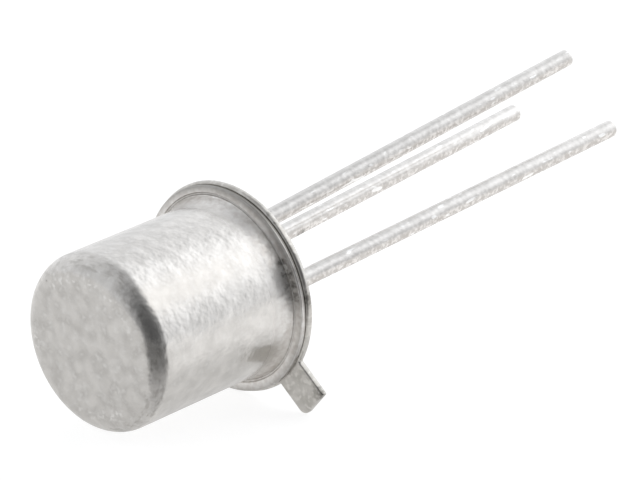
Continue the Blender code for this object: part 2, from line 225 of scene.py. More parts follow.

# Painted shade on the cap's flange: distances in from its edge and down from its top face for
# the groove, the edge and the rim, and heights above the axis over which it grows on the upper
# and on the lower side
FLANGE_GROOVE_SHADE_BAND = ((0.10, 0.12), (0, 0.03))
FLANGE_EDGE_SHADE_BAND = ((0.03, 0.01), (0.03, 0.07))
FLANGE_RIM_SHADE_BAND = ((0.2, 0), (-0.02, -0.01))
FLANGE_SHADE_UPPER_SIDE = (1.0, 2.4)
FLANGE_SHADE_MIDDLE = (-0.5, 1.0)
FLANGE_SHADE_LOWER_SIDE = (0.2, -1.2)

# Camera: where it stands from the middle of the header's underside in millimetres, how it is
# turned in degrees, its lens and sensor in millimetres, and how near and far it sees in metres
CAMERA_OFFSET = (66.656, -70.910, 32.207)
CAMERA_AZIMUTH = 41.93
CAMERA_ELEVATION = 17.61
CAMERA_ROLL = 2.55
CAMERA_LENS = 225
CAMERA_SENSOR = 36
CAMERA_RANGE = (0.001, 10)


def mount(name):
    """Place and direction of one of the part's mounts."""
    found = next(entry for entry in frame["record"]["mounts"] if entry["name"] == name)
    return Vector(found["pos_m"]), Vector(found["axis"])


def can_matrix():
    """The can's own frame in the frame of the part: the mount on its closed end gives the axis."""
    end, axis = mount("cap_end")
    across = Vector((1, 0, 0))
    turn = Matrix((across, axis.cross(across), axis)).transposed()
    return Matrix.Translation(end - axis * CAN_HEIGHT * MM) @ turn.to_4x4()


CAN = can_matrix()


def to_part(points):
    """Points in the can's frame, in millimetres, as points of the part, in metres."""
    turn = np.array(CAN.to_3x3())
    return points @ turn.T * MM + np.array(CAN.translation)


def straight(start, end, steps):
    """Points of a straight stretch, its end left out."""
    share = np.arange(steps)[:, None] / steps
    return np.array(start) * (1 - share) + np.array(end) * share


def arc(centre, radii, start, end, steps):
    """Points of an ellipse's arc between two angles in degrees, both ends kept."""
    angle = np.radians(np.linspace(start, end, steps + 1))
    return np.stack([centre[0] + radii[0] * np.cos(angle), centre[1] + radii[1] * np.sin(angle)], -1)


def hollow(corner, size, power, steps):
    """Points of a quarter superellipse that comes down beside a corner and runs out along it."""
    angle = np.radians(np.linspace(0, 90, steps + 1))
    along = np.clip(np.stack([np.cos(angle), np.sin(angle)], -1), 0, 1) ** (2 / power)
    return np.array(corner) + np.array(size) * (1 - along)


def even_angles(count):
    """Angles all the way round, evenly spaced."""
    return np.linspace(0, 2 * np.pi, count, endpoint=False)


def turned(profile, angles):
    """Grid of a turned piece: each (radius, height) of the profile at each angle."""
    radius = profile[:, 0, None]
    height = np.broadcast_to(profile[:, 1, None], (len(profile), len(angles)))
    return np.stack([radius * np.cos(angles), radius * np.sin(angles), height], -1)


def in_order(rows):
    """A grid's points in the order of its mesh: its first and last row are one point each."""
    middle = rows[1:-1].reshape(-1, *rows.shape[2:])
    return np.concatenate([rows[:1, 0], middle, rows[-1:, 0]])


def skin(name, grid):
    """A closed mesh over a grid of points, whose rows run round the piece from pole to pole."""
    rows, columns = grid.shape[:2]
    ring = 1 + np.arange((rows - 2) * columns).reshape(rows - 2, columns)
    upper, lower = ring[:-1], ring[1:]
    after = (np.roll(upper, -1, axis=1), np.roll(lower, -1, axis=1))
    faces = np.stack([upper, lower, after[1], after[0]], -1).reshape(-1, 4).tolist()
    first, last = ring[0], ring[-1]
    end = (rows - 2) * columns + 1
    faces += np.stack([0 * first, first, np.roll(first, -1)], -1).tolist()
    faces += np.stack([0 * last + end, np.roll(last, -1), last], -1).tolist()
    mesh = bpy.data.meshes.new(name)
    mesh.from_pydata(to_part(in_order(grid)), [], faces)
    mesh.shade_smooth()
    made = bpy.data.objects.new(name, mesh)
    bpy.context.scene.collection.objects.link(made)
    return made


def combine(piece, tools, operation):
    """Cuts rods out of a piece or joins them to it, and keeps the new mesh with its cuts sharp."""
    for tool in tools:
        boolean = piece.modifiers.new(tool.name, "BOOLEAN")
        boolean.operation = operation
        boolean.solver = "EXACT"
        boolean.object = tool
    bpy.context.view_layer.update()
    graph = bpy.context.evaluated_depsgraph_get()
    mesh = bpy.data.meshes.new_from_object(piece.evaluated_get(graph))
    mesh.set_sharp_from_angle(angle=math.radians(SHARP_ANGLE))
    piece.modifiers.clear()
    piece.data = mesh
    for tool in tools:
        bpy.data.objects.remove(tool)


def lead_place(from_tab):
    """Centre of a lead on the lead circle."""
    angle = math.radians(TAB_DEGREES + from_tab)
    return np.array([LEAD_CIRCLE_RADIUS * math.cos(angle), LEAD_CIRCLE_RADIUS * math.sin(angle)])


def posts():
    """Centres of the two leads that pass through the platform."""
    return [lead_place(LEADS[name]["from_tab"]) for name in ("emitter_lead", "base_lead")]


def rod(name, place, bottom, top, radius):
    """A round rod along the axis: a turned rectangle moved to its place."""
    corners = np.array([(0, top), (radius, top), (radius, bottom), (0, bottom)])
    grid = turned(corners, even_angles(ROD_ROUND_STEPS))
    grid[..., :2] += place
    return skin(name, grid)


def cap_section(foot_width, foot_height):
    """Section of the cap: from the middle of its end down the outside, and back up the inside.

    The foot is a quarter of a superellipse, and the weld's groove outside it half an ellipse.
    """
    edge = SHEET_EDGE_RADIUS
    flange = CAP_FLANGE_RADIUS - edge
    flange_top = CAP_UNDERSIDE + CAP_FLANGE_THICKNESS
    foot = (CAP_RADIUS + foot_width, flange_top + foot_height)
    groove = foot[0] + WELD_GROOVE[0]
    rolled = CAP_FLANGE_RADIUS - CAP_ROLLED_EDGE[0]
    mouth = (CAP_RADIUS + CAP_FOOT_RADIUS, flange_top + CAP_FOOT_RADIUS)
    mouth_radii = (mouth[0] - CAP_BORE_RADIUS, mouth[1] - CAP_UNDERSIDE)
    shoulder = (CAP_RADIUS - CAP_SHOULDER_RADIUS, CAN_HEIGHT - CAP_SHOULDER_RADIUS)
    ceiling = CAN_HEIGHT - CAP_END_THICKNESS
    inner_radius = CAP_SHOULDER_RADIUS - CAP_WALL
    inner = (CAP_BORE_RADIUS - inner_radius, ceiling - inner_radius)
    return np.concatenate([
        straight((0, CAN_HEIGHT), (shoulder[0], CAN_HEIGHT), CAP_END_STEPS),
        arc(shoulder, (CAP_SHOULDER_RADIUS, CAP_SHOULDER_RADIUS), 90, 0, CAP_SHOULDER_STEPS),
        straight((CAP_RADIUS, shoulder[1]), (CAP_RADIUS, foot[1]), CAP_WALL_STEPS)[1:],
        hollow((CAP_RADIUS, flange_top), (foot_width, foot_height), CAP_FOOT_HOLLOW, CAP_FOOT_STEPS),
        arc((groove, flange_top), WELD_GROOVE, 180, 360, ROLLED_STEPS)[1:],
        straight((groove + WELD_GROOVE[0], flange_top), (rolled, flange_top), CAP_FLANGE_STEPS)[1:],
        arc((rolled, flange_top - CAP_ROLLED_EDGE[1]), CAP_ROLLED_EDGE, 90, 0, ROLLED_STEPS),
        arc((flange, CAP_UNDERSIDE + edge), (edge, edge), 0, -90, EDGE_STEPS),
        straight((flange, CAP_UNDERSIDE), (mouth[0], CAP_UNDERSIDE), RING_STEPS)[1:],
        arc(mouth, mouth_radii, 270, 180, CORNER_STEPS),
        straight((CAP_BORE_RADIUS, mouth[1]), (CAP_BORE_RADIUS, inner[1]), ROLLED_STEPS)[1:],
        arc(inner, (inner_radius, inner_radius), 0, 90, SMALL_CORNER_STEPS),
        straight((inner[0], ceiling), (0, ceiling), CORNER_STEPS)[1:],
        [(0, ceiling)],
    ])


def make_cap():
    """The drawn cap: three sections, turned, blended by powers of raised cosines of the angle."""
    angles = even_angles(CAP_ROUND_STEPS)
    grid = turned(cap_section(*CAP_FOOT_SLIGHT), angles)
    uneven = ((CAP_FOOT_FULL, CAP_FOOT_FULL_SIDE), (CAP_FOOT_TIGHT, CAP_FOOT_TIGHT_SIDE))
    for foot, (side, fall) in uneven:
        share = ((1 + np.cos(angles - math.radians(side))) / 2) ** fall
        grid += (turned(cap_section(*foot), angles) - grid) * share[:, None]
    return skin("can_cap", grid)


def header_outline():
    """Outline of the header's flange with its tab, anticlockwise from the tab's middle.

    Counted along and across the tab: half of the tab's end, a corner, a side, the small round at
    the rim, the rim itself, and the same back on the other side.
    """
    half = TAB_WIDTH / 2
    tip = HEADER_RADIUS + TAB_LENGTH
    inner = TAB_INNER_CORNER_RADIUS
    upper = TAB_UPPER_CORNER_RADIUS
    lower = TAB_LOWER_CORNER_RADIUS
    across = half + inner
    along = math.sqrt((HEADER_RADIUS + inner) ** 2 - across**2)
    rim = math.degrees(math.atan2(across, along))
    outline = np.concatenate([
        straight((tip, 0), (tip, half - upper), TAB_END_STEPS[0]),
        arc((tip - upper, half - upper), (upper, upper), 0, 90, CORNER_STEPS),
        straight((tip - upper, half), (along, half), TAB_SIDE_STEPS)[1:],
        arc((along, across), (inner, inner), 270, 180 + rim, SMALL_CORNER_STEPS),
        arc((0, 0), (HEADER_RADIUS, HEADER_RADIUS), rim, 360 - rim, RIM_ROUND_STEPS)[1:],
        arc((along, -across), (inner, inner), 180 - rim, 90, SMALL_CORNER_STEPS)[1:],
        straight((along, -half), (tip - lower, -half), TAB_SIDE_STEPS)[1:],
        arc((tip - lower, lower - half), (lower, lower), 270, 360, TAB_CORNER_STEPS),
        straight((tip, lower - half), (tip, 0), TAB_END_STEPS[1])[1:],
    ])
    angle = math.radians(TAB_DEGREES)
    turn = np.array([[math.cos(angle), math.sin(angle)], [-math.sin(angle), math.cos(angle)]])
    return outline @ turn


def make_header():
    """The stamped header: a turned cup whose flange is carried out to the outline with the tab.

    The upper edge is a quarter ellipse. It narrows from the rim to the tab.
    """
    edge = SHEET_EDGE_RADIUS
    thick = HEADER_FLANGE_THICKNESS
    outline = header_outline()
    angles = np.arctan2(outline[:, 1], outline[:, 0])
    along = np.roll(outline, -1, axis=0) - np.roll(outline, 1, axis=0)
    outward = np.stack([along[:, 1], -along[:, 0]], -1)
    outward /= np.linalg.norm(outward, axis=1, keepdims=True)
    top = (EYELET_RADIUS - PLATFORM_OUTER_RADIUS, PLATFORM_HEIGHT - PLATFORM_OUTER_RADIUS)
    foot = (EYELET_RADIUS + EYELET_FOOT_RADIUS, thick + EYELET_FOOT_RADIUS)
    mouth = (EYELET_BORE_RADIUS + EYELET_MOUTH_RADIUS, EYELET_MOUTH_RADIUS)
    corner = (EYELET_BORE_RADIUS - PLATFORM_INNER_RADIUS, PLATFORM_UNDERSIDE - PLATFORM_INNER_RADIUS)
    over = np.concatenate([
        straight((0, PLATFORM_HEIGHT), (top[0], PLATFORM_HEIGHT), CORNER_STEPS),
        arc(top, (PLATFORM_OUTER_RADIUS, PLATFORM_OUTER_RADIUS), 90, 0, CORNER_STEPS),
        straight((EYELET_RADIUS, top[1]), (EYELET_RADIUS, foot[1]), SMALL_CORNER_STEPS)[1:],
        arc(foot, (EYELET_FOOT_RADIUS, EYELET_FOOT_RADIUS), 180, 270, SMALL_CORNER_STEPS),
    ])
    under = np.concatenate([
        arc(mouth, (EYELET_MOUTH_RADIUS, EYELET_MOUTH_RADIUS), 270, 180, CORNER_STEPS),
        straight((EYELET_BORE_RADIUS, mouth[1]), (EYELET_BORE_RADIUS, corner[1]), CORNER_STEPS)[1:],
        arc(corner, (PLATFORM_INNER_RADIUS, PLATFORM_INNER_RADIUS), 0, 90, SMALL_CORNER_STEPS),
        straight((corner[0], PLATFORM_UNDERSIDE), (0, PLATFORM_UNDERSIDE), CORNER_STEPS)[1:],
        [(0, PLATFORM_UNDERSIDE)],
    ])
    on_tab = np.clip((np.linalg.norm(outline, axis=1) - HEADER_RADIUS) / TAB_INNER_CORNER_RADIUS, 0, 1)
    edges = []
    for roll in (HEADER_ROLLED_RIM, HEADER_ROLLED_TAB):
        edges.append(np.concatenate([
            arc((-roll[0], thick - roll[1]), roll, 90, 0, ROLLED_STEPS),
            arc((-edge, edge), (edge, edge), 0, -90, EDGE_STEPS),
        ])[:, None])
    rolled = edges[0] + (edges[1] - edges[0]) * on_tab[:, None]
    rim = np.concatenate([outline + outward * rolled[..., :1], rolled[..., 1:]], -1)
    upper = turned(over, angles)
    lower = turned(under, angles)
    share = np.linspace(0, 1, HEADER_FACE_STEPS + 1)[1:-1, None, None]
    face = upper[-1] * (1 - share) + rim[0] * share
    back = rim[-1] * (1 - share) + lower[0] * share
    header = skin("can_header", np.concatenate([upper, face, rim, back, lower]))
    low = PLATFORM_UNDERSIDE - PLATFORM_THICKNESS
    high = PLATFORM_HEIGHT + PLATFORM_THICKNESS
    holes = [rod("hole", place, low, high, LEAD_HOLE_RADIUS) for place in posts()]
    combine(header, holes, "DIFFERENCE")
    return header


def make_glass():
    """The glass in the eyelet: a turned disc whose outer face climbs each lead by a quarter ellipse.

    Plugs of it fill the platform's holes, and the leads' bores go through it all.
    """
    radius = EYELET_BORE_RADIUS - SEAT_GAP
    corner_radius = PLATFORM_INNER_RADIUS
    top = PLATFORM_UNDERSIDE - SEAT_GAP
    corner = (radius - corner_radius, top - corner_radius)
    profile = np.concatenate([
        straight((0, top), (corner[0], top), SMALL_CORNER_STEPS),
        arc(corner, (corner_radius, corner_radius), 90, 0, SMALL_CORNER_STEPS),
        straight((radius, corner[1]), (radius, GLASS_RECESS), SMALL_CORNER_STEPS)[1:],
        straight((radius, GLASS_RECESS), (0, GLASS_RECESS), GLASS_FACE_STEPS),
        [(0, GLASS_RECESS)],
    ])
    grid = turned(profile, even_angles(GLASS_ROUND_STEPS))
    face = grid[-1 - GLASS_FACE_STEPS:]
    places = [lead_place(lead["from_tab"]) for lead in LEADS.values()]
    for place in places:
        away = np.linalg.norm(face[..., :2] - place, axis=-1)
        share = np.clip(1 - (away - LEAD_RADIUS - MENISCUS_LIP) / MENISCUS_WIDTH, 0, 1)
        face[..., 2] -= MENISCUS_HEIGHT * (1 - np.sqrt(1 - share**2))
    glass = skin("sealing_glass", grid)
    plug = LEAD_HOLE_RADIUS - SEAT_GAP
    plugs = [rod("plug", place, GLASS_RECESS * 2, PLATFORM_HEIGHT, plug) for place in posts()]
    combine(glass, plugs, "UNION")
    bore = LEAD_RADIUS + SEAT_GAP
    bores = [rod("bore", place, -GLASS_RECESS, PLATFORM_HEIGHT * 2, bore) for place in places]
    combine(glass, bores, "DIFFERENCE")
    return glass


def make_lead(name, from_tab, lean, top):
    """A lead: a round section carried down its centre line, which bends away along a parabola.

    Its radius grows from a chamfer at the top and falls along a quarter ellipse at the tip. Each
    point keeps how far it faces down, from -1 to 1.
    """
    slopes = np.tan(np.radians(lean))
    tip = np.sin(np.radians(np.linspace(0, 90, ROLLED_STEPS)))
    below = np.concatenate([
        np.linspace(0, LEAD_LENGTH - LEAD_TIP_LENGTH, LEAD_STEPS),
        LEAD_LENGTH - LEAD_TIP_LENGTH * (1 - tip[1:]),
    ])
    above = np.array([top, top, top - POST_CHAMFER, top / 2])
    bent = below**2 / (2 * LEAD_BEND_LENGTH)
    drift = np.where(below < LEAD_BEND_LENGTH, bent, below - LEAD_BEND_LENGTH / 2)
    line = np.concatenate([
        np.stack([0 * above, 0 * above, above], -1),
        np.stack([slopes[0] * drift, slopes[1] * drift, -below], -1),
    ])
    radius = LEAD_RADIUS * np.concatenate([
        [0, 1 - POST_CHAMFER / LEAD_RADIUS, 1, 1],
        np.ones(LEAD_STEPS),
        np.sqrt(1 - tip[1:] ** 2),
    ])
    along = np.gradient(line, axis=0)
    along[:2] = (0, 0, -1)
    along /= np.linalg.norm(along, axis=1, keepdims=True)
    side = np.array([1.0, 0, 0]) - along * along[:, :1]
    side /= np.linalg.norm(side, axis=1, keepdims=True)
    other = np.cross(side, along)
    angle = even_angles(LEAD_ROUND_STEPS)[None, :, None]
    ring = side[:, None] * np.cos(angle) + other[:, None] * -np.sin(angle)
    grid = line[:, None] + ring * radius[:, None, None]
    grid[..., :2] += lead_place(from_tab)
    lead = skin("wire_" + name, grid)
    facing_down = lead.data.attributes.new("below", "FLOAT", "POINT")
    facing_down.data.foreach_set("value", in_order(-ring[..., 1]))
    return lead


def colour(code):
    """An sRGB hex colour as linear red, green, blue and alpha."""
    parts = [int(code[place:place + 2], 16) / 255 for place in (1, 3, 5)]
    return [part / 12.92 if part < 0.04045 else ((part + 0.055) / 1.055) ** 2.4 for part in parts] + [1]


def node(tree, kind, *inputs, output=0, named=None, **settings):
    """Adds a shader node with its settings and links to a tree, and gives one of its outputs.

    Its inputs come in the node's own order, where None leaves one as it is, or by their names. Each
    is a number, a vector, a colour or the output that it is linked to.
    """
    made = tree.nodes.new("ShaderNode" + kind)
    for key, value in settings.items():
        setattr(made, key, value)
    for key, value in [*enumerate(inputs), *(named or {}).items()]:
        if isinstance(value, bpy.types.NodeSocket):
            tree.links.new(value, made.inputs[key])
        elif value is not None:
            made.inputs[key].default_value = value
    return made.outputs[output]


def new_material(name):
    """An empty material and its tree."""
    made = bpy.data.materials.new(name)
    made.use_nodes = True
    made.node_tree.nodes.clear()
    return made, made.node_tree


def finished(material, shader):
    """The material with a shader joined to its output."""
    tree = material.node_tree
    tree.links.new(shader, tree.nodes.new("ShaderNodeOutputMaterial").inputs[0])
    return material


def can_millimetres(tree):
    """Object coordinates turned into the can's frame and counted in millimetres."""
    back = CAN.inverted()
    place = node(tree, "TexCoord", output="Object")
    return node(tree, "Mapping", place, back.translation / MM, back.to_euler(), (1 / MM, 1 / MM, 1 / MM))


def grain(tree, place, size, detail):
    """Lumps of about a size, or of a size along each axis: noise of the place divided by it."""
    sizes = size if isinstance(size, tuple) else (size, size, size)
    counted = node(tree, "VectorMath", place, sizes, operation="DIVIDE")
    return node(tree, "TexNoise", counted, None, 1, detail)


def patches(tree, place, size, detail, low, high, start=0, end=1):
    """Soft patches: grain carried from two of its levels to two shares, and kept between them."""
    return node(tree, "MapRange", grain(tree, place, size, detail), low, high, start, end)


def lumps(tree, place, size_and_depth, detail, before=None):
    """Grain as a bump of a size and depth in millimetres, on top of the bump before it."""
    size, depth = size_and_depth
    height = grain(tree, place, size, detail)
    return node(tree, "Bump", named={"Height": height, "Distance": depth * MM, "Normal": before})


def all_of(tree, *shares):
    """How far all of some shares are high: their product."""
    product = shares[0]
    for share in shares[1:]:
        product = node(tree, "Math", product, share, operation="MULTIPLY")
    return product


def any_of(tree, *shares):
    """How far one of some shares is high: the largest of them."""
    largest = shares[0]
    for share in shares[1:]:
        largest = node(tree, "Math", largest, share, operation="MAXIMUM")
    return largest


def covered(tree, tint, coat, *shares):
    """A tint covered with a coat of another colour, as far as all of some shares are high."""
    blend = {"Factor": all_of(tree, *shares), "A": tint, "B": coat}
    return node(tree, "Mix", named=blend, output="Result", data_type="RGBA")


def marked(tree, place, marks):
    """How much a point lies in one of some marks: full in the middle, ragged towards the radius."""
    ragged = patches(tree, place, MARK_GRAIN, 2, 0.3, 0.7, -0.5, 0.5)
    spots = []
    for centre, radius in marks:
        away = node(tree, "VectorMath", place, centre, operation="DISTANCE", output="Value")
        away = node(tree, "Math", ragged, radius, away, operation="MULTIPLY_ADD")
        spots.append(node(tree, "MapRange", away, 0, radius, MARK_COVER, 0))
    return any_of(tree, *spots)


def metal(material, tint, roughness, normal):
    """A metal of a colour and roughness, with its bumps."""
    look = {"Base Color": tint, "Metallic": 1, "Roughness": roughness, "Normal": normal}
    return finished(material, node(material.node_tree, "BsdfPrincipled", named=look))


def painted_flange_shade(tree, radius, height, upward):
    """Painted shade on the flange: in its groove, at its edge and over its rim.

    The groove and the edge are darkest on the side away from the table, and the rim both on that
    side and on the side of the table.
    """
    inward = node(tree, "Math", CAP_FLANGE_RADIUS, radius, operation="SUBTRACT")
    down = node(tree, "Math", CAP_UNDERSIDE + CAP_FLANGE_THICKNESS, height, operation="SUBTRACT")
    rim_above = node(tree, "MapRange", upward, *FLANGE_SHADE_UPPER_SIDE, 0, 0.8)
    rim_below = node(tree, "MapRange", upward, *FLANGE_SHADE_LOWER_SIDE, 0, 0.6)
    parts = []
    for band, strength in (
        (FLANGE_GROOVE_SHADE_BAND, node(tree, "MapRange", upward, *FLANGE_SHADE_UPPER_SIDE, 0.25, 0.45)),
        (FLANGE_EDGE_SHADE_BAND, node(tree, "MapRange", upward, *FLANGE_SHADE_MIDDLE, 0.4, 1)),
        (FLANGE_RIM_SHADE_BAND, any_of(tree, rim_above, rim_below)),
    ):
        across = node(tree, "MapRange", inward, *band[0])
        along = node(tree, "MapRange", down, *band[1])
        parts.append(all_of(tree, across, along, strength))
    return any_of(tree, *parts)


def end_nicks(tree, place, radius, depth):
    """Where the edge of the closed end is nicked: clusters of short marks along one circle."""
    return all_of(
        tree,
        *[node(tree, "MapRange", radius, *radii) for radii in NICK_RING],
        node(tree, "MapRange", depth, *NICK_DEPTHS),
        patches(tree, place, NICK_CLUSTERS, 0, 0.48, 0.58),
        patches(tree, place, NICKS, 1, 0.55, 0.65),
    )


def drawn_nickel():
    """Nickel plate over a drawn steel cap, tumbled: satin, with orange peel, draw marks and scuffs."""
    material, tree = new_material("drawn_nickel")
    place = can_millimetres(tree)
    height = node(tree, "SeparateXYZ", place, output="Z")
    upward = node(tree, "SeparateXYZ", place, output="Y")
    flat = node(tree, "VectorMath", place, (1, 1, 0), operation="MULTIPLY")
    radius = node(tree, "VectorMath", flat, operation="LENGTH", output="Value")
    depth = node(tree, "Math", CAN_HEIGHT, height, operation="SUBTRACT")
    # Tumbling has rubbed the closed end more than the wall: more blotches and specks there
    rubbed = node(tree, "MapRange", depth, *RUBBED_DEPTHS, 0.6, 0.9)
    cloud = patches(tree, place, NICKEL_CLOUDS, 3, 0.35, 0.65)
    blotch = patches(tree, place, NICKEL_BLOTCHES, 2, 0.42, 0.60)
    speck = patches(tree, place, NICKEL_SPECKS, 1, 0.48, 0.75, 0, 0.7)
    tint = covered(tree, colour("#d4d1cd"), colour("#dfdcd8"), cloud)
    tint = covered(tree, tint, colour("#c9c6c2"), blotch, rubbed)
    tint = covered(tree, tint, colour("#e9e7e4"), speck, rubbed)
    tint = covered(tree, tint, colour("#eae8e5"), end_nicks(tree, place, radius, depth))
    # Its shoulder is scuffed, in short dull streaks round it
    shoulder = [node(tree, "MapRange", depth, *depths) for depths in SCUFF_DEPTHS]
    streaks = patches(tree, place, NICKEL_STREAKS, 2, 0.5, 0.68, 0, 0.7)
    tint = covered(tree, tint, colour("#b3b0ab"), *shoulder, streaks)
    # Painted light makes the foot and flange lighter, and painted shade darkens the flange's groove,
    # edge and rim
    mottle = patches(tree, place, NICKEL_MOTTLE, 2, 0.35, 0.65)
    bright = covered(tree, colour("#e2deda"), colour("#f6f4f1"), mottle)
    tint = covered(tree, tint, bright, node(tree, "MapRange", height, *FOOT_PAINTED_LIGHT_HEIGHTS, 1, 0))
    tint = covered(tree, tint, colour("#7f7c77"), painted_flange_shade(tree, radius, height, upward))
    tint = covered(tree, tint, colour("#77746f"), marked(tree, place, CAP_MARKS))
    # Waves of the drawn sheet, orange peel of its grain, and fine marks that run round the wall
    normal = lumps(tree, place, NICKEL_WAVES, 1)
    normal = lumps(tree, place, NICKEL_PEEL, 1.5, normal)
    normal = lumps(tree, place, NICKEL_DRAW_MARKS, 2, normal)
    roughness = node(tree, "MapRange", height, *FOOT_ROUGH_HEIGHTS, 0.34, 0.26)
    return metal(material, tint, roughness, normal)


def stamped_nickel():
    """Nickel plate on the stamped header: darker than the cap, with grain across its sheared edge."""
    material, tree = new_material("stamped_nickel")
    place = can_millimetres(tree)
    cloud = patches(tree, place, HEADER_CLOUDS, 3, 0.35, 0.65)
    speck = patches(tree, place, HEADER_SPECKS, 1, 0.5, 0.7)
    tint = covered(tree, colour("#bab7b1"), colour("#cecbc6"), cloud)
    tint = covered(tree, tint, colour("#dad7d2"), speck)
    tint = covered(tree, tint, colour("#77746f"), marked(tree, place, HEADER_MARKS))
    normal = lumps(tree, place, HEADER_SHEAR_MARKS, 2)
    normal = lumps(tree, place, HEADER_MOTTLE, 1.5, normal)
    return metal(material, tint, node(tree, "MapRange", speck, 0, 1, 0.28, 0.36), normal)


def dipped_tin():
    """Tin the leads were dipped in: smooth above, rougher and speckled on the underside, with painted
    shade under it and painted glints.
    """
    material, tree = new_material("dipped_tin")
    place = can_millimetres(tree)
    below = node(tree, "Attribute", output="Fac", attribute_name="below")
    under = node(tree, "MapRange", below, -0.65, 0.15, 0.15, 1)
    cloud = patches(tree, place, TIN_CLOUDS, 3, 0.38, 0.62)
    dull = node(tree, "MapRange", cloud, 0, 1, 1, 0.6)
    speck = patches(tree, place, TIN_SPECKS, 1, 0.48, 0.66)
    painted_glint = patches(tree, place, TIN_PAINTED_GLINTS, 1, 0.66, 0.72)
    tint = covered(tree, colour("#d8d6d3"), colour("#e4e2df"), cloud)
    # Painted shade: the underside of each lead is darker, in clouds
    tint = covered(tree, tint, colour("#c6c1bc"), under, dull)
    tint = covered(tree, tint, colour("#ece8e4"), speck, under)
    # Painted glints: small white spots along the lead
    tint = covered(tree, tint, colour("#fbfaf8"), painted_glint)
    tint = covered(tree, tint, colour("#77746f"), marked(tree, place, LEAD_MARKS))
    # Lumps of the coat: coarse runs along the lead, and a finer grain
    normal = lumps(tree, place, TIN_RUNS, 1)
    normal = lumps(tree, place, TIN_LUMPS, 1.5, normal)
    return metal(material, tint, node(tree, "MapRange", under, 0, 1, 0.26, 0.36), normal)


def inner_metal(name, shades, roughness, size_and_depth):
    """A metal inside the can: its two shades, its range of roughness, and its lumps."""
    material, tree = new_material(name)
    place = can_millimetres(tree)
    share = patches(tree, place, size_and_depth[0], 2, 0.35, 0.65)
    tint = covered(tree, colour(shades[0]), colour(shades[1]), share)
    normal = lumps(tree, place, size_and_depth, 2)
    return metal(material, tint, node(tree, "MapRange", share, 0, 1, *roughness), normal)


def sealing_glass():
    """Hard sealing glass: grey-green, clear in thin layers, glossy, with the soft waves of a melt."""
    material, tree = new_material("sealing_glass")
    place = can_millimetres(tree)
    cloud = patches(tree, place, GLASS_CLOUDS, 2, 0.35, 0.65)
    shader = node(tree, "BsdfPrincipled", named={
        "Base Color": covered(tree, colour("#6f7b74"), colour("#828d86"), cloud),
        "Roughness": node(tree, "MapRange", cloud, 0, 1, 0.05, 0.12),
        "IOR": 1.5,
        "Transmission Weight": 0.75,
        "Normal": lumps(tree, place, GLASS_WAVES, 1),
    })
    return finished(material, shader)


# Light tent: a cloth dome round the table. Each lamp behind it, and the dark opening, is a round
# soft patch: direction in degrees (azimuth from +Y towards +X, elevation), the radii between
# which it fades, and the light it adds
TENT_RADIUS = 0.6
TENT_COLOUR = "#fafcff"
TENT_LEVEL = 0.76
TENT_PATCHES = {
    "backdrop": ((6, 7), (48, 56), 0.44),
    "key": ((22, 36), (14, 38), 0.46),
    "fill": ((-68, 5), (0, 88), 0.23),
    "opening": ((114, 12), (6, 77), -0.65),
    "ceiling": ((20, 84), (16, 32), -0.20),
}

# The tent's least level anywhere, and its segments and rings
TENT_LEAST = 0.05
TENT_STEPS = (48, 24)

# Table: a disc just inside the tent, the light it gives back, and its glow for the rays that see it
FLOOR_RADIUS = 0.5994
FLOOR_STEPS = 96
FLOOR_ALBEDO = 0.3
FLOOR_GLOW = 0.86

# Painted shade that lies on the table, seen only in the part's reflections: the can's shadow and the
# less-lit table in front of it. It is printed as two soft fans round one point: the direction of each,
# the half angles between which it fades out, and how much it covers. The first is paler close to the
# point. A soft round spot of painted shadow lies under the can
SHADE_CENTRE = (0.0018, -0.0080, 0)
SHADE_FAN = (114, (38, 58), 1.0)
SHADE_WIDE_FAN = (180, (70, 120), 0.34)
SHADE_DISTANCES = (0.0012, 0.0060)
SHADE_PALE = 0.55
SHADE_SPOT_CENTRE = (0.0008, -0.0040, 0)
SHADE_SPOT_DISTANCES = (0.0060, 0.0028)
SHADE_SPOT = 0.30
SHADE_SIZE = 0.6
SHADE_LEVEL = 0.22
SHADE_LIFT = 0.00002

# White card held close to the foot of the can, a soft disc seen only in the part's reflections: the
# place it faces, the direction it stands in and its distance, the radii between which it fades out,
# and its level
CARD_AIM = (0.0015, -0.0043, 0.0047)
CARD_DIRECTION = (72, 50)
CARD_DISTANCE = 0.009
CARD_RADII = (0.0048, 0.00192)
CARD_STEPS = 64
CARD_LEVEL = 1.35

# Colour of what glows without a tint
WHITE = (1, 1, 1, 1)


def direction(azimuth, elevation):
    """Unit vector of an azimuth from +Y towards +X, and an elevation."""
    flat = math.cos(math.radians(elevation))
    turn = math.radians(azimuth)
    return flat * math.sin(turn), flat * math.cos(turn), math.sin(math.radians(elevation))


def near_direction(tree, ray, middle, angles, most):
    """How near a ray is to a direction: rises smoothly to the most between two angles from it."""
    turn = node(tree, "VectorMath", ray, direction(*middle), operation="DOT_PRODUCT", output="Value")
    high, low = [math.cos(math.radians(angle)) for angle in angles]
    return node(tree, "MapRange", turn, low, high, 0, most, interpolation_type="SMOOTHSTEP")


def glowing_print(tree, cover, level):
    """A surface that shines at a level as far as its print covers it, and is clear elsewhere."""
    clear = node(tree, "BsdfTransparent")
    return node(tree, "MixShader", cover, clear, node(tree, "Emission", WHITE, level))


def put_on_stage(name, material, *unseen_by):
    """Names the object just added, gives it its material and hides it from some kinds of rays."""
    prop = bpy.context.object
    prop.name = name
    prop.data.materials.append(material)
    for rays in unseen_by:
        setattr(prop, "visible_" + rays, False)


